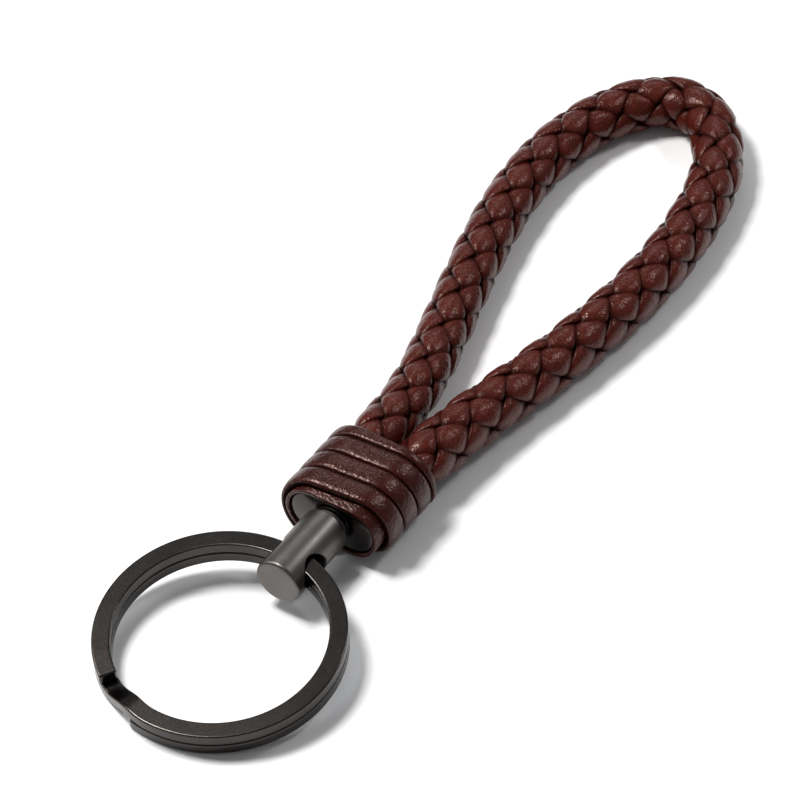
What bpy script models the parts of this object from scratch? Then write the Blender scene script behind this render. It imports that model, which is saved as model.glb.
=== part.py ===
"""Wrist-strap keychain: split ring, swivel barrel, lace-bound collar and braided wrist loop.

Blender 4.5, metres, +Z up. +X runs along the strap, from the ring to the loop. The origin is on
the collar's flat underside, at the middle of the lace's second turn, where the strap lies on a
table. Dimensions below are in millimetres.
"""

import math

import bmesh
import bpy
from mathutils import Matrix, Vector

MM = 0.001
UP = math.radians(90)
DOWN = math.radians(-90)

# Collar: every layer is an oval sleeve with two half-round ends this far from the strap's axis.
OVAL_HALF_STRAIGHT = 2.75
ARC_STEPS = 12
AXIS_HEIGHT = 4.8
CUP_INNER, CUP_OUTER = 2.75, 3.1
LINER_INNER, LINER_OUTER = 3.2, 3.7
LACE_INNER, LACE_OUTER = 3.8, AXIS_HEIGHT

# The lace is wound as one helix, one strip width and one groove per turn, and cut flush on top.
LACE_WIDTH = 2.8
LACE_PITCH = 3.05
LACE_EDGE = 0.25
LACE_START = -1.4 - LACE_PITCH
LACE_TOP = LACE_START + 4 * LACE_PITCH
LACE_TAIL = 0.4

LINER_START = LACE_START + 0.4
LINER_END = LACE_TOP - 2.6
CUP_START = LINER_START + 0.15
CUP_BASE = 1.1
CUP_END = LINER_END - 0.3

# Swivel stack, from the cup's base towards the ring.
PLAY = 0.15
SHANK_RADIUS = 0.95
HOLE_RADIUS = 1.05
WASHER_RADIUS, WASHER_THICK = 2.3, 0.55
RIVET_HEAD_RADIUS, RIVET_HEAD_THICK = 1.5, 0.8
BURR_RADIUS, BURR_THICK = 2.0, 0.35
PEEN_RADIUS, PEEN_THICK = 1.5, 0.5

# Barrel: solid, with a cross-hole, and a pocket whose lip keeps the rivet's head in.
BARREL_RADIUS = 3.0
BARREL_LENGTH = 10.6
BARREL_END = CUP_START - WASHER_THICK - 2 * PLAY
BARREL_START = BARREL_END - BARREL_LENGTH
BARREL_ROUND = 0.4
POCKET_LIP = 1.0
POCKET_RADIUS = 1.7
RING_HOLE_RADIUS = 2.3
RING_HOLE_X = BARREL_START + 3.7
RING_HOLE_FLARE = 0.25

# Split ring: flat wire, two turns, with a step where it climbs from the lower to the upper turn.
RING_RADIUS = 15.0
WIRE_WIDTH = 2.2
WIRE_THICK = 1.55
WIRE_EDGE = 0.15
COIL_GAP = 0.1
RING_SHIFT = 0.1
RING_SKEW = math.radians(-5)
LOWER_START = math.radians(174)
STEP_START = math.radians(360 + 154)
STEP_END = math.radians(360 + 174)
UPPER_END = math.radians(720 + 151)
WIRE_STEP = math.radians(5)
STEP_BULGE = 0.35
STEP_BULGE_CENTRE = math.radians(360 + 163)
STEP_BULGE_HALF = math.radians(21)

# Braided cord: a little slacker and thicker along one branch than along the other.
CORD_RADIUS_LEFT, CORD_RADIUS_RIGHT = 3.2, 3.4
RIM_RADIUS = 3.05
NECK_RADIUS = 2.6
TIP_RADIUS = 2.3
NECK_OFFSET, RIM_OFFSET = 2.75, 3.2
CORD_START = -1.2
BINDING_START, BINDING_END = -1.0, 2.8
BINDING_INNER, BINDING_OUTER = 2.4, 2.65
CORD_POINTS = 74

# The cord's middle, x y z, out of the collar along +Y's side, round the tip and back.
LOOP_ROUTE = (
    (CORD_START, NECK_OFFSET, AXIS_HEIGHT),
    (4.2, NECK_OFFSET, AXIS_HEIGHT),
    (8.4, RIM_OFFSET, AXIS_HEIGHT),
    (13.5, 3.6, 4.45),
    (19.0, 4.1, 3.9),
    (25.0, 5.3, 3.5),
    (31.0, 6.9, 3.25),
    (37.0, 8.5, 3.2),
    (43.0, 10.1, 3.2),
    (49.0, 11.6, 3.2),
    (55.0, 12.8, 3.2),
    (61.0, 13.5, 3.2),
    (67.0, 13.6, 3.2),
    (72.6, 12.9, 3.2),
    (77.6, 11.4, 3.25),
    (81.9, 9.0, 3.3),
    (84.7, 5.8, 3.35),
    (85.3, 2.0, 3.4),
    (83.2, -1.8, 3.4),
    (78.9, -5.1, 3.4),
    (73.4, -7.3, 3.4),
    (67.4, -8.6, 3.4),
    (61.2, -9.3, 3.4),
    (55.0, -9.4, 3.4),
    (49.0, -9.1, 3.4),
    (43.0, -8.4, 3.4),
    (37.0, -7.5, 3.45),
    (31.0, -6.4, 3.55),
    (25.0, -5.3, 3.8),
    (19.0, -4.3, 4.15),
    (13.5, -3.65, 4.5),
    (8.4, -RIM_OFFSET, AXIS_HEIGHT),
    (4.2, -NECK_OFFSET, AXIS_HEIGHT),
    (CORD_START, -NECK_OFFSET, AXIS_HEIGHT),
)

LATHE_STEPS = 40


def clear_scene():
    for obj in list(bpy.data.objects):
        bpy.data.objects.remove(obj, do_unlink=True)


def principled(name, colour, metallic, roughness):
    material = bpy.data.materials.new(name)
    material.use_nodes = True
    shader = material.node_tree.nodes["Principled BSDF"]
    shader.inputs["Base Color"].default_value = (*colour, 1.0)
    shader.inputs["Metallic"].default_value = metallic
    shader.inputs["Roughness"].default_value = roughness
    return material


def place(name, mesh, material, origin=(0.0, 0.0, 0.0)):
    """An object whose mesh is in row-frame millimetres, with its origin moved to a point of that frame."""
    centre = Vector(origin)
    mesh.transform(Matrix.Scale(MM, 4) @ Matrix.Translation(-centre))
    mesh.materials.append(material)
    mesh.shade_smooth()
    mesh.set_sharp_from_angle(angle=math.radians(35))
    obj = bpy.data.objects.new(name, mesh)
    obj.location = centre * MM
    bpy.context.scene.collection.objects.link(obj)
    return obj


def swept_mesh(name, sections, closed):
    """A tube of equal-sized sections, each a list of points: joined end to end, or with filled ends."""
    bm = bmesh.new()
    rings = [[bm.verts.new(point) for point in section] for section in sections]
    pairs = list(zip(rings, rings[1:]))
    if closed:
        pairs.append((rings[-1], rings[0]))
    for first, second in pairs:
        for i, corner in enumerate(first):
            j = (i + 1) % len(first)
            bm.faces.new((corner, first[j], second[j], second[i]))
    if not closed:
        bm.faces.new(rings[0])
        bm.faces.new(rings[-1])
    bmesh.ops.recalc_face_normals(bm, faces=bm.faces)
    mesh = bpy.data.meshes.new(name)
    bm.to_mesh(mesh)
    bm.free()
    return mesh


def turned_mesh(name, profile, steps=LATHE_STEPS):
    """A ring turned about the strap's axis. The profile is a closed outline of (x, radius) points."""
    sections = []
    for k in range(steps):
        angle = 2 * math.pi * k / steps
        y, z = math.cos(angle), math.sin(angle)
        sections.append([(x, radius * y, AXIS_HEIGHT + radius * z) for x, radius in profile])
    return swept_mesh(name, sections, closed=True)


def solid_turned_mesh(name, profile, steps=LATHE_STEPS):
    """A solid turned about the strap's axis. The profile runs from end to end, ends not on the axis."""
    sections = []
    for x, radius in profile:
        angles = [2 * math.pi * k / steps for k in range(steps)]
        sections.append(
            [(x, radius * math.cos(a), AXIS_HEIGHT + radius * math.sin(a)) for a in angles]
        )
    return swept_mesh(name, sections, closed=False)


def oval_stations():
    """(centre y, angle) round the collar from its underside's middle, by +Y, over the top and back."""
    angles = [DOWN + math.pi * k / ARC_STEPS for k in range(ARC_STEPS + 1)]
    stations = [(0.0, DOWN)]
    stations += [(OVAL_HALF_STRAIGHT, angle) for angle in angles]
    stations += [(0.0, UP)]
    stations += [(-OVAL_HALF_STRAIGHT, angle + math.pi) for angle in angles]
    return stations


def oval_point(x, station, radius):
    centre, angle = station
    return (x, centre + radius * math.cos(angle), AXIS_HEIGHT + radius * math.sin(angle))


def oval_sleeve_mesh(name, start, end, inner, outer):
    sections = [
        [
            oval_point(start, station, outer),
            oval_point(end, station, outer),
            oval_point(end, station, inner),
            oval_point(start, station, inner),
        ]
        for station in oval_stations()
    ]
    return swept_mesh(name, sections, closed=True)


def station_turns():
    """How far round the collar each station lies, in turns, measured along the lace's middle."""
    middle = (LACE_INNER + LACE_OUTER) / 2
    points = [Vector(oval_point(0.0, station, middle)) for station in oval_stations()]
    lengths = [0.0]
    for here, there in zip(points, points[1:] + points[:1]):
        lengths.append(lengths[-1] + (there - here).length)
    return [length / lengths[-1] for length in lengths[:-1]]


def lace_section(low, high, station):
    """Outline of the lace across its width: square against the liner, eased on its outer edges."""
    ease = min(LACE_EDGE, (high - low) / 3)
    outline = (
        (low, LACE_INNER),
        (high, LACE_INNER),
        (high, LACE_OUTER - ease),
        (high - ease, LACE_OUTER),
        (low + ease, LACE_OUTER),
        (low, LACE_OUTER - ease),
    )
    return [oval_point(x, station, radius) for x, radius in outline]


def build_collar_wrap(leather):
    sections = []
    turns = 5
    for turn in range(turns):
        for station, share in zip(oval_stations(), station_turns()):
            low = LACE_START + LACE_PITCH * (turn + share)
            if low > LACE_TOP - LACE_TAIL:
                break
            high = min(low + LACE_WIDTH, LACE_TOP)
            sections.append(lace_section(low, high, station))
    return place("collar_wrap", swept_mesh("collar_wrap", sections, closed=False), leather)


def build_collar_liner(leather):
    mesh = oval_sleeve_mesh("collar_liner", LINER_START, LINER_END, LINER_INNER, LINER_OUTER)
    return place("collar_liner", mesh, leather)


def cutter(name, mesh, origin=(0.0, 0.0, 0.0)):
    tool = place(name, mesh, principled(name, (0.5, 0.5, 0.5), 0.0, 0.5), origin)
    tool.hide_render = True
    tool.display_type = "WIRE"
    return tool


def cut(obj, tool):
    modifier = obj.modifiers.new(tool.name, "BOOLEAN")
    modifier.operation = "DIFFERENCE"
    modifier.solver = "EXACT"
    modifier.object = tool


def build_end_cup(gunmetal):
    floor = CUP_START + CUP_BASE
    rows = ((CUP_START, CUP_OUTER), (CUP_END, CUP_OUTER), (CUP_END, CUP_INNER), (floor, CUP_INNER))
    sections = [[oval_point(x, s, radius) for s in oval_stations()] for x, radius in rows]
    cup = place("end_cup", swept_mesh("end_cup", sections, closed=False), gunmetal)
    hole = ((CUP_START - 1.0, HOLE_RADIUS), (floor + 1.0, HOLE_RADIUS))
    cut(cup, cutter("cup_hole_cutter", solid_turned_mesh("cup_hole_cutter", hole)))
    return cup


def washer(name, start, thickness, radius, material):
    end = start + thickness
    profile = ((start, HOLE_RADIUS), (end, HOLE_RADIUS), (end, radius), (start, radius))
    return place(name, turned_mesh(name, profile), material)


def build_swivel_rivet(steel):
    """A headed rivet: its head turns inside the barrel and its peened end holds the cup."""
    head_end = BARREL_END - POCKET_LIP - PLAY
    head_start = head_end - RIVET_HEAD_THICK
    peen_start = CUP_START + CUP_BASE + PLAY + BURR_THICK + PLAY
    peen_end = peen_start + PEEN_THICK
    profile = (
        (head_start, RIVET_HEAD_RADIUS * 0.6),
        (head_start + 0.2, RIVET_HEAD_RADIUS * 0.9),
        (head_start + 0.4, RIVET_HEAD_RADIUS),
        (head_end, RIVET_HEAD_RADIUS),
        (head_end, SHANK_RADIUS),
        (peen_start, SHANK_RADIUS),
        (peen_start, PEEN_RADIUS),
        (peen_start + 0.2, PEEN_RADIUS * 0.95),
        (peen_end, PEEN_RADIUS * 0.6),
    )
    return place("swivel_rivet", solid_turned_mesh("swivel_rivet", profile), steel)


def build_swivel_barrel(gunmetal):
    start, end, radius = BARREL_START, BARREL_END, BARREL_RADIUS
    soft = BARREL_ROUND * (1 - math.sqrt(0.5))
    pocket_end = end - POCKET_LIP
    pocket_start = pocket_end - RIVET_HEAD_THICK - 2 * PLAY
    profile = (
        (start, radius - BARREL_ROUND),
        (start + soft, radius - soft),
        (start + BARREL_ROUND, radius),
        (end - BARREL_ROUND, radius),
        (end - soft, radius - soft),
        (end, radius - BARREL_ROUND),
        (end, HOLE_RADIUS),
        (pocket_end, HOLE_RADIUS),
        (pocket_end, POCKET_RADIUS),
        (pocket_start, POCKET_RADIUS),
    )
    origin = (RING_HOLE_X, 0.0, AXIS_HEIGHT)
    barrel = place("swivel_barrel", solid_turned_mesh("swivel_barrel", profile), gunmetal, origin)
    cut(barrel, ring_hole_cutter())
    return barrel


def ring_hole_cutter():
    """A round cutter across the barrel, flared where it meets the outside."""
    reach = BARREL_RADIUS + 1.0
    flare_start = BARREL_RADIUS - 0.5
    flared = RING_HOLE_RADIUS + RING_HOLE_FLARE
    rows = (
        (-reach, flared),
        (-BARREL_RADIUS, flared),
        (-flare_start, RING_HOLE_RADIUS),
        (flare_start, RING_HOLE_RADIUS),
        (BARREL_RADIUS, flared),
        (reach, flared),
    )
    sections = []
    for y, radius in rows:
        angles = [2 * math.pi * k / LATHE_STEPS for k in range(LATHE_STEPS)]
        sections.append(
            [
                (RING_HOLE_X + radius * math.sin(a), y, AXIS_HEIGHT + radius * math.cos(a))
                for a in angles
            ]
        )
    return cutter("ring_hole_cutter", swept_mesh("ring_hole_cutter", sections, closed=False))


def smooth_step(value):
    value = min(max(value, 0.0), 1.0)
    return value * value * (3 - 2 * value)


def wire_height(angle):
    """The wire's middle above the ring's mid-plane: lower turn, climb at the step, upper turn."""
    climb = smooth_step((angle - STEP_START) / (STEP_END - STEP_START))
    return (WIRE_THICK + COIL_GAP) * (climb - 0.5)


def wire_inset(angle):
    """How far the wire is pressed towards the ring's centre where it steps from one coil to the next."""
    away = abs(angle - STEP_BULGE_CENTRE) / STEP_BULGE_HALF
    return STEP_BULGE * smooth_step(1 - away)


def ring_droop():
    """The tilt at which the ring, held at the barrel's hole, touches the table with its far rim."""
    thickness = 2 * WIRE_THICK + COIL_GAP
    reach = 2 * RING_RADIUS - WIRE_WIDTH / 2 - RING_SHIFT
    return math.asin((AXIS_HEIGHT - thickness / 2) / reach)


def ring_section(angle):
    middle = RING_RADIUS - WIRE_WIDTH / 2 - wire_inset(angle)
    height = wire_height(angle)
    half_wide, half_thick, edge = WIRE_WIDTH / 2, WIRE_THICK / 2, WIRE_EDGE
    outline = (
        (-half_wide, -half_thick + edge),
        (-half_wide + edge, -half_thick),
        (half_wide - edge, -half_thick),
        (half_wide, -half_thick + edge),
        (half_wide, half_thick - edge),
        (half_wide - edge, half_thick),
        (-half_wide + edge, half_thick),
        (-half_wide, half_thick - edge),
    )
    return [
        ((middle + across) * math.cos(angle), (middle + across) * math.sin(angle), height + rise)
        for across, rise in outline
    ]


def build_split_ring(gunmetal):
    count = round((UPPER_END - LOWER_START) / WIRE_STEP)
    angles = [LOWER_START + (UPPER_END - LOWER_START) * k / count for k in range(count + 1)]
    mesh = swept_mesh("split_ring", [ring_section(angle) for angle in angles], closed=False)
    centre = RING_RADIUS - WIRE_WIDTH / 2 - RING_SHIFT
    hole = (RING_HOLE_X, 0.0, AXIS_HEIGHT)
    tilt = Matrix.Rotation(-ring_droop(), 4, "Y") @ Matrix.Rotation(RING_SKEW, 4, "Z")
    mesh.transform(Matrix.Translation(hole) @ tilt @ Matrix.Translation((-centre, 0.0, 0.0)))
    return place("split_ring", mesh, gunmetal, hole)


def smooth_curve_points(route, count):
    """Points evenly spaced along a smooth curve through the route."""
    points = [Vector(point) for point in route]
    padded = [2 * points[0] - points[1], *points, 2 * points[-1] - points[-2]]
    dense = []
    parts = 12
    for a, b, c, d in zip(padded, padded[1:], padded[2:], padded[3:]):
        for k in range(parts):
            t = k / parts
            dense.append(
                0.5
                * (
                    2 * b
                    + (c - a) * t
                    + (2 * a - 5 * b + 4 * c - d) * t**2
                    + (3 * b - a - 3 * c + d) * t**3
                )
            )
    dense.append(points[-1])
    lengths = [0.0]
    for here, there in zip(dense, dense[1:]):
        lengths.append(lengths[-1] + (there - here).length)
    even = []
    index = 0
    for k in range(count):
        wanted = lengths[-1] * k / (count - 1)
        while index < len(dense) - 2 and lengths[index + 1] < wanted:
            index += 1
        share = (wanted - lengths[index]) / (lengths[index + 1] - lengths[index])
        even.append(dense[index].lerp(dense[index + 1], share))
    return even


def cord_radius(x, progress):
    """Slim under the binding, squeezed in the cup, wider at the collar's rim, and full beyond it."""
    full = CORD_RADIUS_LEFT + (CORD_RADIUS_RIGHT - CORD_RADIUS_LEFT) * smooth_step(progress)
    radius = TIP_RADIUS + (NECK_RADIUS - TIP_RADIUS) * smooth_step((x - BINDING_END - 0.6) / 1.2)
    radius += (RIM_RADIUS - NECK_RADIUS) * smooth_step((x - LINER_END) / (LACE_TOP - LINER_END))
    return radius + (full - RIM_RADIUS) * smooth_step((x - LACE_TOP - 0.5) / 3.0)


def build_braided_loop(leather):
    curve = bpy.data.curves.new("braided_loop", "CURVE")
    curve.dimensions = "3D"
    curve.bevel_depth = MM
    curve.bevel_resolution = 3
    curve.use_fill_caps = True
    curve.materials.append(leather)
    points = smooth_curve_points(LOOP_ROUTE, CORD_POINTS)
    spline = curve.splines.new("POLY")
    spline.points.add(len(points) - 1)
    for i, (target, point) in enumerate(zip(spline.points, points)):
        target.co = (*(point * MM), 1.0)
        target.radius = cord_radius(point.x, i / (len(points) - 1))
    loop = bpy.data.objects.new("braided_loop", curve)
    bpy.context.scene.collection.objects.link(loop)
    return loop


def build_cord_binding(name, side, thread):
    """Thread whipped round one cut end of the braid, inside the cup."""
    steps = 24
    outline = (
        (BINDING_START, BINDING_OUTER),
        (BINDING_END, BINDING_OUTER),
        (BINDING_END, BINDING_INNER),
        (BINDING_START, BINDING_INNER),
    )
    sections = []
    for k in range(steps):
        angle = 2 * math.pi * k / steps
        y, z = math.cos(angle), math.sin(angle)
        sections.append(
            [(x, side * NECK_OFFSET + radius * y, AXIS_HEIGHT + radius * z) for x, radius in outline]
        )
    return place(name, swept_mesh(name, sections, closed=True), thread)


def axis_empty(name, location):
    empty = bpy.data.objects.new(name, None)
    empty.location = Vector(location) * MM
    bpy.context.scene.collection.objects.link(empty)
    return empty


def hang_on(child, parent):
    """Parents the child without moving it."""
    bpy.context.view_layer.update()
    child.parent = parent
    child.matrix_parent_inverse = parent.matrix_world.inverted()


def main():
    clear_scene()
    leather = principled("brown_leather", (0.085, 0.027, 0.022), 0.0, 0.45)
    thread = principled("waxed_thread", (0.05, 0.02, 0.018), 0.0, 0.7)
    gunmetal = principled("gunmetal", (0.085, 0.078, 0.073), 1.0, 0.38)
    steel = principled("plated_steel", (0.45, 0.44, 0.42), 1.0, 0.35)

    build_collar_wrap(leather)
    build_collar_liner(leather)
    build_braided_loop(leather)
    build_cord_binding("cord_binding_left", 1, thread)
    build_cord_binding("cord_binding_right", -1, thread)
    build_end_cup(gunmetal)
    build_swivel_rivet(steel)
    washer("swivel_washer", CUP_START - PLAY - WASHER_THICK, WASHER_THICK, WASHER_RADIUS, steel)
    washer("rivet_burr", CUP_START + CUP_BASE + PLAY, BURR_THICK, BURR_RADIUS, steel)
    barrel = build_swivel_barrel(gunmetal)
    ring = build_split_ring(gunmetal)

    swivel = axis_empty("swivel_axis", (BARREL_END, 0.0, AXIS_HEIGHT))
    swing = axis_empty("ring_swing_axis", (RING_HOLE_X, 0.0, AXIS_HEIGHT))
    hang_on(swing, swivel)
    hang_on(barrel, swivel)
    hang_on(ring, swing)


main()
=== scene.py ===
"""The wristlet keychain's looks: braided strands, wound lace, turned metal, floor, light and camera.

Every length below is in millimetres unless its name says otherwise. The meshes are made in metres.
"""

import math

import bmesh
import bpy
from mathutils import Matrix, Vector


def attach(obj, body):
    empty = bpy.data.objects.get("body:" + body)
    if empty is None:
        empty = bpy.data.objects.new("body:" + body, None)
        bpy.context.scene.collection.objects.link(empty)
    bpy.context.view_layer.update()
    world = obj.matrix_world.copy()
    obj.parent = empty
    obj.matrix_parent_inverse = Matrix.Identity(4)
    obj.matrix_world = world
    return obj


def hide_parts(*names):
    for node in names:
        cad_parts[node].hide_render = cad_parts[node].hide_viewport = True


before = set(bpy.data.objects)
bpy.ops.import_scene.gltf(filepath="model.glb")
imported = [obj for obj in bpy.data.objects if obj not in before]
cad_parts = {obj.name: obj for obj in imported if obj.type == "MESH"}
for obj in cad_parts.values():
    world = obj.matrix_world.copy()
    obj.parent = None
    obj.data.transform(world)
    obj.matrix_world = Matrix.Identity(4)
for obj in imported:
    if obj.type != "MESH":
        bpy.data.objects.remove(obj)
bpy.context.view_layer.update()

MM = 0.001
DOWN = math.radians(-90)

# Camera
LENS = 202.5
SENSOR = 36.0
HEADING = math.radians(57)
ELEVATION = math.radians(45)
DISTANCE = 556.0
TARGET = Vector((21.95, 7.02, 0.0))

# Collar: oval layers with half-round ends
OVAL_HALF_STRAIGHT = 2.75
AXIS_HEIGHT = 4.8
CUP_INNER, CUP_OUTER = 2.75, 3.1
LINER_INNER, LINER_OUTER = 3.2, 3.7
LACE_INNER, LACE_OUTER = 3.8, AXIS_HEIGHT
LACE_WIDTH = 2.8
LACE_PITCH = 3.05
LACE_START = -1.4 - LACE_PITCH
LACE_TOP = LACE_START + 4 * LACE_PITCH
LACE_TAIL = 0.4
LACE_WANDER = 0.05
LACE_CROWN = 0.09
LINER_START = LACE_START + 0.4
LINER_END = LACE_TOP - 2.6
CUP_START = LINER_START + 0.15
CUP_BASE = 1.1
CUP_END = LINER_END - 0.3
CUP_ROUND = 0.4
SLEEVE_ROUND = 0.12
HOLE_RADIUS = 1.05

# Swivel washer and barrel
PLAY = 0.15
WASHER_RADIUS, WASHER_THICK = 2.3, 0.55
RIVET_HEAD_THICK = 0.8
BARREL_RADIUS = 3.0
BARREL_LENGTH = 10.6
BARREL_END = CUP_START - WASHER_THICK - 2 * PLAY
BARREL_START = BARREL_END - BARREL_LENGTH
BARREL_ROUND = 0.4
BARREL_CENTRE_DISC = 0.4
POCKET_LIP = 1.0
POCKET_RADIUS = 1.7
RING_HOLE_RADIUS = 2.3
RING_HOLE_X = BARREL_START + 3.7
RING_HOLE_FLARE = 0.25
FLARE_DEPTH = 0.35

# Split ring
RING_RADIUS = 15.0
WIRE_WIDTH = 2.2
WIRE_THICK = 1.55
WIRE_EDGE = 0.2
COIL_GAP = 0.1
RING_SHIFT = 0.1
RING_SKEW = math.radians(-5)
LOWER_START = math.radians(174)
STEP_START = math.radians(360 + 154)
STEP_END = math.radians(360 + 174)
UPPER_END = math.radians(720 + 151)
WIRE_STEP = math.radians(1.5)
# How far the section is drawn in, at a distance along the wire from its cut end: a small round.
WIRE_END_ROUND = ((0.0, 0.28), (0.06, 0.12), (0.16, 0.03), (0.32, 0.0))
STEP_BULGE = 0.35
STEP_BULGE_CENTRE = math.radians(360 + 163)
STEP_BULGE_HALF = math.radians(21)

# Cord: its mean radius, and how it grows from one branch to the other
CORD_RADIUS = 3.3
CORD_RADIUS_LEFT, CORD_RADIUS_RIGHT = 3.2, 3.4
RIM_RADIUS = 3.05
NECK_RADIUS = 2.6
TIP_RADIUS = 2.3
NECK_OFFSET, RIM_OFFSET = 2.75, 3.2
CORD_START = -1.2
BINDING_END = 2.8

# Braid: half of the strands wind each way, and one over-and-under is BRAID_PITCH long. The strands'
# tops reach BRAID_SWELL times the cord's mean radius.
STRANDS_EACH_WAY = 4
BRAID_PITCH = 6.5
STRAND_WIDTH = 3.8
STRAND_THICK = 1.1
STRAND_WAVE = 0.31
STRAND_FULLNESS = 3.4
BRAID_SWELL = 1.045
FLOOR_CONTACT = 0.02
CORE_RADIUS = 1.25
BRAID_TURN = math.radians(-37)
STRAND_SLACK = 0.03
STRAND_UNEVENNESS = 0.03
STRAND_UV_STEP = 9.0
PATH_STEP = 0.27

# Painted crease shade: the depth below the surface, as a share of the leather's thickness, where the
# painted shade starts, and how much deeper it is full
BRAID_CREASE_SHADE = (0.06, 0.46)
LACE_CREASE_SHADE = (0.2, 0.6)

# Leather grain: its heights, and the number of wrinkles per millimetre along and across the leather
SWELL_HEIGHT = 0.15
WRINKLE_HEIGHT = 0.07
PEBBLE_HEIGHT = 0.028
PEBBLES_PER_MM = 4.0
BRAID_GRAIN = (3.2, 1.3, 1.0)
LACE_GRAIN = (1.8, 2.6, 1.0)

# Colours, as linear red, green and blue
BRAID_TONE = (0.054, 0.0070, 0.0041)
LACE_TONE = (0.026, 0.0039, 0.0027)
# Painted shade: the dark colour laid into the creases between the strands and between the lace's
# turns.
CREASE_SHADE_TONE = (0.005, 0.0015, 0.0012)
LEATHER_SHINE = (1.0, 0.72, 0.66)
GUNMETAL_TONE = (0.062, 0.0565, 0.053)
SATIN_TONE = (0.15, 0.139, 0.132)
STEEL_TONE = (0.30, 0.29, 0.28)
THREAD_DARK, THREAD_PALE = (0.02, 0.008, 0.007), (0.07, 0.03, 0.025)
FLOOR_TONES = (0.93, 0.935, 0.94), (0.95, 0.95, 0.95)

# Floor and light
FLOOR_HALF = 4000.0
FLOOR_DROP = 0.02
SKY_TONE = (0.96, 0.98, 1.0)
SKY_STRENGTH = 0.22
LIT_POINT = Vector((25.0, 0.0, 0.0))
# Name, distances from the lit point (away from the camera, to its right, up), width, height, watts
# and colour
LAMPS = (
    ("key", (60, -200, 420), 140, 120, 2.3, (1.0, 0.985, 0.97)),
    ("back", (360, 0, 290), 220, 30, 0.18, (1.0, 0.98, 0.97)),
    ("side", (60, -330, 200), 90, 90, 0.30, (0.95, 0.97, 1.0)),
    ("rim", (120, 260, 330), 90, 60, 0.36, (1.0, 1.0, 1.0)),
)

# The cord's middle, x y z, out of the collar along +Y's side, round the tip and back.
LOOP_ROUTE = (
    (CORD_START, NECK_OFFSET, AXIS_HEIGHT),
    (4.2, NECK_OFFSET, AXIS_HEIGHT),
    (8.4, RIM_OFFSET, AXIS_HEIGHT),
    (13.5, 3.6, 4.45),
    (19.0, 4.1, 3.9),
    (25.0, 5.3, 3.5),
    (31.0, 6.9, 3.25),
    (37.0, 8.5, 3.2),
    (43.0, 10.1, 3.2),
    (49.0, 11.6, 3.2),
    (55.0, 12.8, 3.2),
    (61.0, 13.5, 3.2),
    (67.0, 13.6, 3.2),
    (72.6, 12.9, 3.2),
    (77.6, 11.4, 3.25),
    (81.9, 9.0, 3.3),
    (84.7, 5.8, 3.35),
    (85.3, 2.0, 3.4),
    (83.2, -1.8, 3.4),
    (78.9, -5.1, 3.4),
    (73.4, -7.3, 3.4),
    (67.4, -8.6, 3.4),
    (61.2, -9.3, 3.4),
    (55.0, -9.4, 3.4),
    (49.0, -9.1, 3.4),
    (43.0, -8.4, 3.4),
    (37.0, -7.5, 3.45),
    (31.0, -6.4, 3.55),
    (25.0, -5.3, 3.8),
    (19.0, -4.3, 4.15),
    (13.5, -3.65, 4.5),
    (8.4, -RIM_OFFSET, AXIS_HEIGHT),
    (4.2, -NECK_OFFSET, AXIS_HEIGHT),
    (CORD_START, -NECK_OFFSET, AXIS_HEIGHT),
)


# ---------------------------------------------------------------- nodes and materials


class Nodes:
    """A material's node tree, with short calls for the nodes that the materials here share."""

    def __init__(self, name):
        self.material = bpy.data.materials.new(name)
        self.material.use_nodes = True
        self.tree = self.material.node_tree
        self.shader = self.tree.nodes["Principled BSDF"]

    def add(self, kind, **settings):
        node = self.tree.nodes.new(kind)
        for key, value in settings.items():
            setattr(node, key, value)
        return node

    def link(self, source, target):
        self.tree.links.new(source, target)

    def noise(self, vector, scale, detail=4.0, roughness=0.55, stretch=(1, 1, 1)):
        mapping = self.add("ShaderNodeMapping")
        mapping.inputs["Scale"].default_value = [scale * s for s in stretch]
        self.link(vector, mapping.inputs["Vector"])
        noise = self.add("ShaderNodeTexNoise")
        noise.inputs["Scale"].default_value = 1.0
        noise.inputs["Detail"].default_value = detail
        noise.inputs["Roughness"].default_value = roughness
        self.link(mapping.outputs[0], noise.inputs["Vector"])
        return noise.outputs["Fac"]

    def cells(self, vector, scale):
        """Rounded cells like leather grain: 0 at each cell's middle and more towards its edge."""
        cells = self.add("ShaderNodeTexVoronoi")
        cells.inputs["Scale"].default_value = scale
        self.link(vector, cells.inputs["Vector"])
        return cells.outputs["Distance"]

    def spread(self, value, low, high, to_low, to_high):
        node = self.add("ShaderNodeMapRange")
        self.link(value, node.inputs["Value"])
        node.inputs["From Min"].default_value = low
        node.inputs["From Max"].default_value = high
        node.inputs["To Min"].default_value = to_low
        node.inputs["To Max"].default_value = to_high
        return node.outputs["Result"]

    def mix(self, factor, first, second):
        """Blends two colours. The three sockets are the colour node's factor, A and B."""
        node = self.add("ShaderNodeMix", data_type="RGBA")
        for socket, value in ((0, factor), (6, first), (7, second)):
            if hasattr(value, "links"):
                self.link(value, node.inputs[socket])
            else:
                node.inputs[socket].default_value = value
        return node.outputs[2]

    def bump(self, height, strength, distance, below=None):
        """A normal from a height of this many millimetres, on top of another normal if given."""
        node = self.add("ShaderNodeBump")
        node.inputs["Strength"].default_value = strength
        node.inputs["Distance"].default_value = distance * MM
        self.link(height, node.inputs["Height"])
        if below is not None:
            self.link(below, node.inputs["Normal"])
        return node.outputs["Normal"]


def colour(red, green, blue):
    return (red, green, blue, 1.0)


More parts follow.
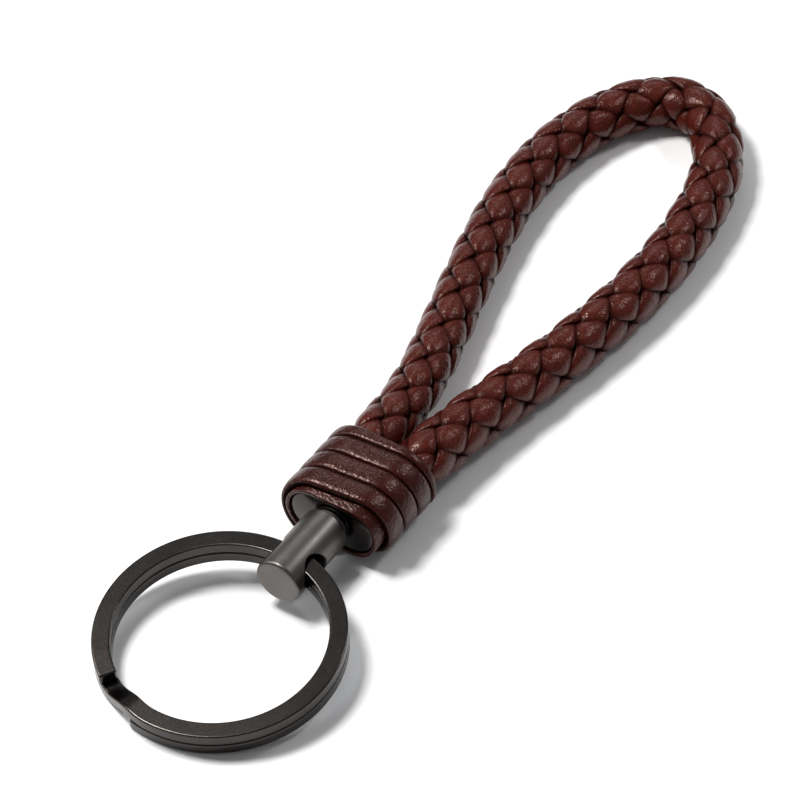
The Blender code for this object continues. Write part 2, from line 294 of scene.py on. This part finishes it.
def leather_material(name, tone, grain):
    """Waxed leather. Attribute "low" paints shade into what lies in a crease: a darker colour and less
    shine.

    Noise on "place" has its scale per metre, and on "run", the UV, per millimetre.
    """
    nodes = Nodes(name)
    place = nodes.add("ShaderNodeTexCoord").outputs["Object"]
    run = nodes.add("ShaderNodeUVMap").outputs["UV"]
    low = nodes.add("ShaderNodeAttribute", attribute_name="low").outputs["Fac"]
    patches = nodes.spread(nodes.noise(place, 420, 3.0), 0.38, 0.62, 0.0, 1.0)
    mottle = nodes.spread(nodes.noise(place, 2300, 5.0), 0.35, 0.65, 0.0, 0.55)
    base = nodes.mix(patches, colour(*tone), colour(*(0.7 * c for c in tone)))
    base = nodes.mix(mottle, base, colour(*(1.7 * c for c in tone)))
    # Painted shade: the crease colour takes over where "low" is high.
    base = nodes.mix(low, base, colour(*CREASE_SHADE_TONE))
    nodes.link(base, nodes.shader.inputs["Base Color"])
    wrinkle = nodes.noise(run, 1.0, 2.5, 0.5, stretch=grain)
    pebble = nodes.cells(run, PEBBLES_PER_MM)
    soft = nodes.noise(place, 600, 2.0, 0.5)
    normal = nodes.bump(soft, 0.6, SWELL_HEIGHT)
    normal = nodes.bump(wrinkle, 1.0, WRINKLE_HEIGHT, normal)
    normal = nodes.bump(pebble, 1.0, PEBBLE_HEIGHT, normal)
    nodes.link(normal, nodes.shader.inputs["Normal"])
    rough = nodes.spread(nodes.noise(place, 1800, 3.0), 0.3, 0.7, 0.20, 0.31)
    nodes.link(rough, nodes.shader.inputs["Roughness"])
    # Painted shade on the gloss: the specular level drops in the creases.
    shine = nodes.spread(low, 0.0, 0.7, 0.34, 0.02)
    nodes.link(shine, nodes.shader.inputs["Specular IOR Level"])
    nodes.shader.inputs["Specular Tint"].default_value = colour(*LEATHER_SHINE)
    return nodes.material


def metal_material(name, tone, rough_low, rough_high):
    """Plated metal, a little cloudy, with a fine grain in its gloss."""
    nodes = Nodes(name)
    place = nodes.add("ShaderNodeTexCoord").outputs["Object"]
    cloud = nodes.spread(nodes.noise(place, 260, 3.0), 0.3, 0.7, 0.0, 1.0)
    darker = colour(*(0.8 * c for c in tone))
    nodes.link(nodes.mix(cloud, colour(*tone), darker), nodes.shader.inputs["Base Color"])
    nodes.shader.inputs["Metallic"].default_value = 1.0
    fine = nodes.noise(place, 4200, 2.0, 0.5)
    rough = nodes.spread(fine, 0.3, 0.7, rough_low, rough_high)
    nodes.link(rough, nodes.shader.inputs["Roughness"])
    nodes.link(nodes.bump(fine, 0.1, 0.01), nodes.shader.inputs["Normal"])
    return nodes.material


def thread_material():
    nodes = Nodes("waxed_thread")
    place = nodes.add("ShaderNodeTexCoord").outputs["Object"]
    turns = nodes.add("ShaderNodeTexWave", bands_direction="X")
    turns.inputs["Scale"].default_value = 500
    nodes.link(place, turns.inputs["Vector"])
    # Painted shade: the tone is darker in the grooves between the thread's turns, where the bump is
    # low.
    tone = nodes.mix(turns.outputs["Fac"], colour(*THREAD_DARK), colour(*THREAD_PALE))
    nodes.link(tone, nodes.shader.inputs["Base Color"])
    nodes.shader.inputs["Roughness"].default_value = 0.7
    nodes.link(nodes.bump(turns.outputs["Fac"], 0.8, 0.2), nodes.shader.inputs["Normal"])
    return nodes.material


def floor_material():
    nodes = Nodes("pale_floor")
    place = nodes.add("ShaderNodeTexCoord").outputs["Object"]
    darker, paler = FLOOR_TONES
    tone = nodes.mix(nodes.noise(place, 40), colour(*darker), colour(*paler))
    nodes.link(tone, nodes.shader.inputs["Base Color"])
    nodes.shader.inputs["Roughness"].default_value = 0.6
    return nodes.material


# ---------------------------------------------------------------- meshes


def smooth_step(value):
    value = min(max(value, 0.0), 1.0)
    return value * value * (3 - 2 * value)


def crease_shade_share(depth, crease):
    """How much of the painted crease shade lies at this depth, from 0 to 1."""
    start, reach = crease
    return smooth_step((depth - start) / reach)


def circle_angles(steps):
    return [2 * math.pi * k / steps for k in range(steps)]


def swept_object(name, sections, material, closed=False, uvs=None, low=None):
    """A tube of equal-sized sections: joined end to end, or with filled ends.

    uvs and low, the painted crease shade, have one entry per point.
    """
    bm = bmesh.new()
    rings = [[bm.verts.new(Vector(point) * MM) for point in section] for section in sections]
    uv_layer = bm.loops.layers.uv.new("UVMap")
    pairs = [(i, i + 1) for i in range(len(rings) - 1)]
    if closed:
        pairs.append((len(rings) - 1, 0))
    size = len(rings[0])
    for a, b in pairs:
        for i in range(size):
            j = (i + 1) % size
            face = bm.faces.new((rings[a][i], rings[a][j], rings[b][j], rings[b][i]))
            face.smooth = True
            if uvs:
                corners = ((a, i), (a, j), (b, j), (b, i))
                for loop, (row, column) in zip(face.loops, corners):
                    loop[uv_layer].uv = uvs[row][column]
    if not closed:
        bm.faces.new(rings[0])
        bm.faces.new(rings[-1])
    bmesh.ops.recalc_face_normals(bm, faces=bm.faces)
    mesh = bpy.data.meshes.new(name)
    bm.to_mesh(mesh)
    bm.free()
    mesh.materials.append(material)
    if low:
        layer = mesh.attributes.new("low", "FLOAT", "POINT")
        layer.data.foreach_set("value", [value for row in low for value in row])
    obj = bpy.data.objects.new(name, mesh)
    bpy.context.scene.collection.objects.link(obj)
    return obj


def smooth_path(route, step):
    """Points evenly spaced along a smooth curve through the route, about one step apart."""
    points = [Vector(point) for point in route]
    padded = [2 * points[0] - points[1], *points, 2 * points[-1] - points[-2]]
    dense = []
    parts = 24
    for a, b, c, d in zip(padded, padded[1:], padded[2:], padded[3:]):
        for k in range(parts):
            t = k / parts
            cubic = (3 * b - a - 3 * c + d) * t**3
            dense.append(0.5 * (2 * b + (c - a) * t + (2 * a - 5 * b + 4 * c - d) * t**2 + cubic))
    dense.append(points[-1])
    lengths = [0.0]
    for here, there in zip(dense, dense[1:]):
        lengths.append(lengths[-1] + (there - here).length)
    count = round(lengths[-1] / step)
    even = []
    index = 0
    for k in range(count + 1):
        wanted = lengths[-1] * k / count
        while index < len(dense) - 2 and lengths[index + 1] < wanted:
            index += 1
        share = (wanted - lengths[index]) / (lengths[index + 1] - lengths[index])
        even.append(dense[index].lerp(dense[index + 1], share))
    return even, lengths[-1]


def cord_radius(x, progress):
    """Slim under the binding, squeezed in the cup, wider at the collar's rim, and full beyond it."""
    full = CORD_RADIUS_LEFT + (CORD_RADIUS_RIGHT - CORD_RADIUS_LEFT) * smooth_step(progress)
    full *= BRAID_SWELL
    radius = TIP_RADIUS + (NECK_RADIUS - TIP_RADIUS) * smooth_step((x - BINDING_END - 0.6) / 1.2)
    radius += (RIM_RADIUS - NECK_RADIUS) * smooth_step((x - LINER_END) / (LACE_TOP - LINER_END))
    return radius + (full - RIM_RADIUS) * smooth_step((x - LACE_TOP - 0.5) / 3.0)


def dress(piece, body, slot, *nodes):
    """The piece rides on a body and stands for CAD nodes."""
    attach(piece, body)
    if nodes:
        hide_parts(*nodes)


# ---------------------------------------------------------------- braid


class CordPath:
    """The cord's centre line, with an up and a side direction at every point of it."""

    def __init__(self):
        self.points, self.length = smooth_path(LOOP_ROUTE, PATH_STEP)
        last = len(self.points) - 1
        self.frames = []
        for i in range(last + 1):
            along = (self.points[min(i + 1, last)] - self.points[max(i - 1, 0)]).normalized()
            up = (Vector((0, 0, 1)) - along * along.z).normalized()
            self.frames.append((up, along.cross(up)))

    def at(self, distance, angle, radius):
        """The point at a distance along, an angle from up towards the left of travel, and a radius.

        What would dip below the table is flattened just above it.
        """
        place = min(max(distance / self.length, 0.0), 1.0) * (len(self.points) - 1)
        i = min(int(place), len(self.points) - 2)
        share = place - i
        centre = self.points[i].lerp(self.points[i + 1], share)
        up = self.frames[i][0].lerp(self.frames[i + 1][0], share)
        side = self.frames[i][1].lerp(self.frames[i + 1][1], share)
        reach = radius * cord_radius(centre.x, distance / self.length) / CORD_RADIUS
        point = centre + (up * math.cos(angle) + side * math.sin(angle)) * reach
        point.z = max(point.z, FLOOR_CONTACT)
        return point


def rounded_outline(steps, fullness):
    """A closed outline from -1 to 1 both ways: an oval at fullness 2, a soft-cornered bar above it."""
    outline = []
    for k in range(steps):
        angle = 2 * math.pi * (k + 0.5) / steps
        across, height = math.cos(angle), math.sin(angle)
        size = (abs(across) ** fullness + abs(height) ** fullness) ** (-1 / fullness)
        outline.append((across * size, height * size))
    return outline


def braid_strand(path, hand, index, material):
    """One strand: it winds round the cord, over one crossing and under the next."""
    steps_round = 18
    outline = rounded_outline(steps_round, STRAND_FULLNESS)
    rate = 2 * math.pi / (STRANDS_EACH_WAY * BRAID_PITCH)
    slant = math.atan(CORD_RADIUS * rate)
    middle = CORD_RADIUS - STRAND_THICK / 2 - STRAND_WAVE
    sections, uvs, shade_rows = [], [], []
    for k in range(len(path.points)):
        distance = path.length * k / (len(path.points) - 1)
        wave = hand * math.cos(2 * math.pi * distance / BRAID_PITCH)
        wave = wave * (1.5 - 0.5 * wave * wave)
        # Slow waves that differ from strand to strand keep the braid from looking machine-made.
        slack = STRAND_SLACK * math.sin(0.43 * distance + 2.1 * index + hand)
        centre = middle + STRAND_WAVE * wave + slack
        uneven = STRAND_UNEVENNESS * math.sin(0.71 * distance + 1.3 * index)
        half_wide = STRAND_WIDTH / 2 * (1 + uneven)
        start = index * 2 * math.pi / STRANDS_EACH_WAY + BRAID_TURN
        section, uv, low = [], [], []
        for across, height in outline:
            offset = across * half_wide
            angle = start + hand * distance * rate + offset * math.cos(slant) / CORD_RADIUS
            lift = height * STRAND_THICK / 2
            section.append(path.at(distance - hand * offset * math.sin(slant), angle, centre + lift))
            uv.append((distance / math.cos(slant), offset + STRAND_UV_STEP * index))
            # Painted shade: the deeper a point lies under the braid's surface, the darker it is
            # painted.
            depth = (CORD_RADIUS - centre - lift) / STRAND_THICK
            low.append(crease_shade_share(depth, BRAID_CREASE_SHADE))
        sections.append(section)
        uvs.append(uv)
        shade_rows.append(low)
    name = f"braid_strand_{'right' if hand > 0 else 'left'}_{index + 1}"
    return swept_object(name, sections, material, uvs=uvs, low=shade_rows)


def braid_core(path, material):
    """The round core that the strands are braided on."""
    angles = circle_angles(20)
    sections = []
    for k in range(len(path.points)):
        distance = path.length * k / (len(path.points) - 1)
        sections.append([path.at(distance, angle, CORE_RADIUS) for angle in angles])
    return swept_object("braid_core", sections, material)


def build_braid(leather):
    path = CordPath()
    strands = [
        braid_strand(path, hand, index, leather)
        for hand in (1, -1)
        for index in range(STRANDS_EACH_WAY)
    ]
    core = braid_core(path, leather)
    for piece in (*strands, core):
        dress(piece, "strap", "leather")
    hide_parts("braided_loop")


# ---------------------------------------------------------------- collar


def oval_stations():
    """(centre y, angle) round the collar from its underside's middle, by +Y, over the top and back."""
    arc_steps, flat_steps = 30, 6
    half = OVAL_HALF_STRAIGHT
    flats = [half * k / flat_steps for k in range(flat_steps)]
    arcs = [DOWN + math.pi * k / arc_steps for k in range(arc_steps + 1)]
    stations = [(y, DOWN) for y in flats]
    stations += [(half, angle) for angle in arcs]
    stations += [(half - y, -DOWN) for y in flats[1:]]
    stations += [(-y, -DOWN) for y in flats]
    stations += [(-half, angle + math.pi) for angle in arcs]
    stations += [(-half + y, DOWN) for y in flats[1:]]
    return stations


def oval_point(x, station, radius):
    centre, angle = station
    return (x, centre + radius * math.cos(angle), AXIS_HEIGHT + radius * math.sin(angle))


def station_lengths(radius):
    """How far round an oval of this radius each station lies, and the whole way round."""
    points = [Vector(oval_point(0.0, station, radius)) for station in oval_stations()]
    lengths = [0.0]
    for here, there in zip(points, points[1:] + points[:1]):
        lengths.append(lengths[-1] + (there - here).length)
    return lengths[:-1], lengths[-1]


def build_collar_wrap(leather):
    """One flat lace wound as a helix, cut flush along the rim."""
    turns = 5
    steps_round, fullness = 36, 5.0
    outline = rounded_outline(steps_round, fullness)
    middle, half_thick = (LACE_INNER + LACE_OUTER) / 2, (LACE_OUTER - LACE_INNER) / 2
    lengths, around = station_lengths(middle)
    sections, uvs, shade_rows = [], [], []
    for turn in range(turns):
        for station, length in zip(oval_stations(), lengths):
            run = turn * around + length
            start = LACE_START + LACE_PITCH * run / around
            low_edge = start + LACE_WANDER * math.sin(0.31 * run)
            if low_edge > LACE_TOP - LACE_TAIL:
                break
            high_edge = start + LACE_WIDTH + LACE_WANDER * math.sin(0.23 * run + 1)
            high_edge = min(high_edge, LACE_TOP)
            centre, half = (low_edge + high_edge) / 2, (high_edge - low_edge) / 2
            section, uv, low = [], [], []
            for across, height in outline:
                radius = middle + half_thick * height
                if height > 0:
                    radius -= LACE_CROWN * across * across
                section.append(oval_point(centre + half * across, station, radius))
                uv.append((run, centre + half * across))
                # Painted shade: the deeper a point lies below the lace's top, the darker it is
                # painted.
                depth = (LACE_OUTER - radius) / (2 * half_thick)
                low.append(crease_shade_share(depth, LACE_CREASE_SHADE))
            sections.append(section)
            uvs.append(uv)
            shade_rows.append(low)
    wrap = swept_object("collar_wrap_lace", sections, leather, uvs=uvs, low=shade_rows)
    dress(wrap, "strap", "leather", "collar_wrap")


def soft_box(low_x, high_x, inner, outer, edge):
    """The outline of a sleeve's wall with eased corners."""
    cut = 0.3 * edge
    return (
        (low_x, inner + edge),
        (low_x + cut, inner + cut),
        (low_x + edge, inner),
        (high_x - edge, inner),
        (high_x - cut, inner + cut),
        (high_x, inner + edge),
        (high_x, outer - edge),
        (high_x - cut, outer - cut),
        (high_x - edge, outer),
        (low_x + edge, outer),
        (low_x + cut, outer - cut),
        (low_x, outer - edge),
    )


def build_collar_liner(leather):
    """The sleeve under the lace."""
    outline = soft_box(LINER_START, LINER_END, LINER_INNER, LINER_OUTER, SLEEVE_ROUND)
    lengths, _ = station_lengths(LINER_OUTER)
    sections = [[oval_point(x, station, r) for x, r in outline] for station in oval_stations()]
    uvs = [[(length, x) for x, _ in outline] for length in lengths]
    liner = swept_object("collar_liner_sleeve", sections, leather, closed=True, uvs=uvs)
    dress(liner, "strap", "leather", "collar_liner")


def build_end_cup(metal):
    """The oval cup: a round hole in its base, a rolled outer edge, and thin walls."""
    floor = CUP_START + CUP_BASE
    cut = 0.3 * CUP_ROUND
    walls = (
        (CUP_START, CUP_OUTER - CUP_ROUND),
        (CUP_START + cut, CUP_OUTER - cut),
        (CUP_START + CUP_ROUND, CUP_OUTER),
        (CUP_END, CUP_OUTER),
        (CUP_END, CUP_INNER),
        (floor, CUP_INNER),
    )
    sections = []
    for station in oval_stations():
        rim = Vector(oval_point(0.0, station, CUP_OUTER)) - Vector((0.0, 0.0, AXIS_HEIGHT))
        turn = math.atan2(rim.z, rim.y)
        y, z = HOLE_RADIUS * math.cos(turn), AXIS_HEIGHT + HOLE_RADIUS * math.sin(turn)
        wall = [oval_point(x, station, radius) for x, radius in walls]
        sections.append([(CUP_START, y, z), *wall, (floor, y, z)])
    cup = swept_object("end_cup_shell", sections, metal, closed=True)
    cup.data.set_sharp_from_angle(angle=math.radians(35))
    dress(cup, "strap", "gunmetal", "end_cup")


# ---------------------------------------------------------------- swivel


def turned_point(x, radius, angle):
    """A point at this radius and angle about the strap's axis."""
    return (x, radius * math.cos(angle), AXIS_HEIGHT + radius * math.sin(angle))


def round_corner(x, radius, edge, turn_from, turn_to, steps=6):
    """Points of a quarter round: centre (x, radius), size edge, between two angles in degrees."""
    points = []
    for k in range(steps + 1):
        angle = math.radians(turn_from + (turn_to - turn_from) * k / steps)
        points.append((x + edge * math.cos(angle), radius + edge * math.sin(angle)))
    return points


def build_swivel_washer(metal):
    start = CUP_START - PLAY - WASHER_THICK
    outline = soft_box(start, start + WASHER_THICK, HOLE_RADIUS, WASHER_RADIUS, SLEEVE_ROUND)
    sections = [[turned_point(x, r, angle) for x, r in outline] for angle in circle_angles(72)]
    washer = swept_object("swivel_washer_ring", sections, metal, closed=True)
    dress(washer, "strap", "steel", "swivel_washer")


def cut_mesh(obj, tool):
    """Cuts the tool out of the object, keeps the result as its mesh and removes the tool."""
    modifier = obj.modifiers.new("cut", "BOOLEAN")
    modifier.operation = "DIFFERENCE"
    modifier.solver = "EXACT"
    modifier.object = tool
    graph = bpy.context.evaluated_depsgraph_get()
    graph.update()
    mesh = bpy.data.meshes.new_from_object(obj.evaluated_get(graph))
    obj.modifiers.remove(modifier)
    obj.data = mesh
    bpy.data.objects.remove(tool)


def ring_hole_tool(material):
    """A round bar across the barrel, wider where it comes out, so that the hole's edge is eased."""
    outer = BARREL_RADIUS + PLAY
    beyond = BARREL_RADIUS + 1.0
    rows = [(beyond, 2 * RING_HOLE_FLARE)]
    steps = 4
    for k in range(steps + 1):
        share = k / steps
        rows.append((outer - FLARE_DEPTH * share, RING_HOLE_FLARE * (1 - share) ** 2))
    rows = [(-y, extra) for y, extra in rows] + rows[::-1]
    sections = []
    for y, extra in rows:
        r = RING_HOLE_RADIUS + extra
        sections.append(
            [
                (RING_HOLE_X + r * math.sin(a), y, AXIS_HEIGHT + r * math.cos(a))
                for a in circle_angles(96)
            ]
        )
    return swept_object("ring_hole_tool", sections, material)


def build_swivel_barrel(metal):
    """The turned barrel: a pocket for the rivet's head, and the ring's hole across it."""
    start, end, radius, edge = BARREL_START, BARREL_END, BARREL_RADIUS, BARREL_ROUND
    pocket_end = end - POCKET_LIP
    pocket_start = pocket_end - RIVET_HEAD_THICK - 2 * PLAY
    profile = [
        (start, BARREL_CENTRE_DISC),
        *round_corner(start + edge, radius - edge, edge, 180, 90),
        *round_corner(end - edge, radius - edge, edge, 90, 0),
        (end, HOLE_RADIUS),
        (pocket_end, HOLE_RADIUS),
        (pocket_end, POCKET_RADIUS),
        (pocket_start, POCKET_RADIUS),
    ]
    sections = [[turned_point(x, r, angle) for angle in circle_angles(120)] for x, r in profile]
    barrel = swept_object("swivel_barrel_body", sections, metal)
    cut_mesh(barrel, ring_hole_tool(metal))
    barrel.data.shade_smooth()
    barrel.data.set_sharp_from_angle(angle=math.radians(28))
    dress(barrel, "barrel", "gunmetal", "swivel_barrel")


# ---------------------------------------------------------------- split ring


def wire_height(angle):
    """The wire's middle above the ring's mid-plane: lower turn, climb at the step, upper turn."""
    climb = smooth_step((angle - STEP_START) / (STEP_END - STEP_START))
    return (WIRE_THICK + COIL_GAP) * (climb - 0.5)


def wire_inset(angle):
    """How far the wire is pressed towards the ring's centre where it steps to the next coil."""
    away = abs(angle - STEP_BULGE_CENTRE) / STEP_BULGE_HALF
    return STEP_BULGE * smooth_step(1 - away)


def wire_outline():
    """Flat wire's section: a bar with small round edges, and a row close beside each edge."""
    half_wide, half_thick = WIRE_WIDTH / 2, WIRE_THICK / 2
    beside = WIRE_EDGE + 0.06
    outline = []
    for side, rise, turn in ((1, 1, 0), (-1, 1, 90), (-1, -1, 180), (1, -1, 270)):
        x, y = side * (half_wide - WIRE_EDGE), rise * (half_thick - WIRE_EDGE)
        upright = (side * half_wide, rise * (half_thick - beside))
        level = (side * (half_wide - beside), rise * half_thick)
        before, after = (upright, level) if side == rise else (level, upright)
        outline += [before, *round_corner(x, y, WIRE_EDGE, turn, turn + 90, 4), after]
    return outline


def ring_place():
    """From the ring's own plane, centred on it, to the strap's frame."""
    thickness = 2 * WIRE_THICK + COIL_GAP
    reach = 2 * RING_RADIUS - WIRE_WIDTH / 2 - RING_SHIFT
    droop = math.asin((AXIS_HEIGHT - thickness / 2) / reach)
    tilt = Matrix.Rotation(-droop, 4, "Y") @ Matrix.Rotation(RING_SKEW, 4, "Z")
    hole = Matrix.Translation((RING_HOLE_X, 0.0, AXIS_HEIGHT))
    centre = RING_RADIUS - WIRE_WIDTH / 2 - RING_SHIFT
    return hole @ tilt @ Matrix.Translation((-centre, 0.0, 0.0))


def wire_stations():
    """(angle, how far the section is drawn in) along the wire, with a small round at each end."""
    count = round((UPPER_END - LOWER_START) / WIRE_STEP)
    stations = [(LOWER_START + along / RING_RADIUS, inset) for along, inset in WIRE_END_ROUND]
    for k in range(1, count):
        stations.append((LOWER_START + (UPPER_END - LOWER_START) * k / count, 0.0))
    for along, inset in reversed(WIRE_END_ROUND):
        stations.append((UPPER_END - along / RING_RADIUS, inset))
    return stations


def build_split_ring(metal):
    placing = ring_place()
    outline = wire_outline()
    sections = []
    for angle, inset in wire_stations():
        middle = RING_RADIUS - WIRE_WIDTH / 2 - wire_inset(angle)
        wide, thick = 1 - inset / (WIRE_WIDTH / 2), 1 - inset / (WIRE_THICK / 2)
        section = []
        for across, rise in outline:
            reach = middle + wide * across
            height = wire_height(angle) + thick * rise
            point = Vector((reach * math.cos(angle), reach * math.sin(angle), height))
            section.append(placing @ point)
        sections.append(section)
    ring = swept_object("split_ring_wire", sections, metal)
    ring.data.set_sharp_from_angle(angle=math.radians(50))
    dress(ring, "ring", "gunmetal", "split_ring")


# ---------------------------------------------------------------- floor, light, camera


def viewing_directions():
    """Level directions away from the camera and to its right."""
    away = Vector((math.sin(HEADING), math.cos(HEADING), 0.0))
    right = Vector((math.cos(HEADING), -math.sin(HEADING), 0.0))
    return away, right


def area_light(name, location, target, width, height, power, tint):
    light = bpy.data.lights.new(name, "AREA")
    light.shape = "RECTANGLE"
    light.size, light.size_y = width * MM, height * MM
    light.energy = power
    light.color = tint
    obj = bpy.data.objects.new(name, light)
    obj.location = location * MM
    obj.rotation_mode = "QUATERNION"
    obj.rotation_quaternion = (target - location).to_track_quat("-Z", "Y")
    bpy.context.scene.collection.objects.link(obj)


def build_camera():
    away, _ = viewing_directions()
    forward = away * math.cos(ELEVATION) - Vector((0, 0, 1)) * math.sin(ELEVATION)
    data = bpy.data.cameras.new("camera")
    data.sensor_width = SENSOR
    data.lens = LENS
    data.clip_start, data.clip_end = 0.01, 20.0
    camera = bpy.data.objects.new("camera", data)
    camera.location = (TARGET - forward * DISTANCE) * MM
    camera.rotation_mode = "QUATERNION"
    camera.rotation_quaternion = forward.to_track_quat("-Z", "Y")
    bpy.context.scene.collection.objects.link(camera)
    bpy.context.scene.camera = camera


def build_floor():
    size = FLOOR_HALF * MM
    mesh = bpy.data.meshes.new("floor")
    corners = [(-size, -size, 0), (size, -size, 0), (size, size, 0), (-size, size, 0)]
    mesh.from_pydata(corners, [], [(0, 1, 2, 3)])
    mesh.materials.append(floor_material())
    floor = bpy.data.objects.new("floor", mesh)
    floor.location.z = -FLOOR_DROP * MM
    bpy.context.scene.collection.objects.link(floor)


def build_light():
    scene = bpy.context.scene
    world = bpy.data.worlds.new("studio")
    world.use_nodes = True
    background = world.node_tree.nodes["Background"]
    background.inputs["Color"].default_value = colour(*SKY_TONE)
    background.inputs["Strength"].default_value = SKY_STRENGTH
    scene.world = world
    scene.view_settings.view_transform = "Standard"
    away, right = viewing_directions()
    for name, (far, across, up), width, height, power, tint in LAMPS:
        location = LIT_POINT + away * far + right * across + Vector((0, 0, up))
        area_light(name, location, LIT_POINT, width, height, power, tint)


def dress_cad_nodes(thread, steel):
    """The pieces inside the collar keep their CAD shape and get a finished material."""
    finishes = {
        "cord_binding_left": thread,
        "cord_binding_right": thread,
        "swivel_rivet": steel,
        "rivet_burr": steel,
    }
    for name, material in finishes.items():
        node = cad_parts[name]
        node.data.materials.clear()
        node.data.materials.append(material)


def main():
    build_camera()
    leather = leather_material("braid_leather", BRAID_TONE, BRAID_GRAIN)
    lace_leather = leather_material("lace_leather", LACE_TONE, LACE_GRAIN)
    gunmetal = metal_material("gunmetal", GUNMETAL_TONE, 0.20, 0.25)
    satin = metal_material("gunmetal_satin", SATIN_TONE, 0.36, 0.42)
    steel = metal_material("plated_steel", STEEL_TONE, 0.3, 0.4)
    thread = thread_material()
    build_braid(leather)
    build_collar_wrap(lace_leather)
    build_collar_liner(lace_leather)
    build_end_cup(gunmetal)
    build_swivel_washer(steel)
    build_swivel_barrel(satin)
    build_split_ring(gunmetal)
    dress_cad_nodes(thread, steel)
    build_floor()
    build_light()


main()
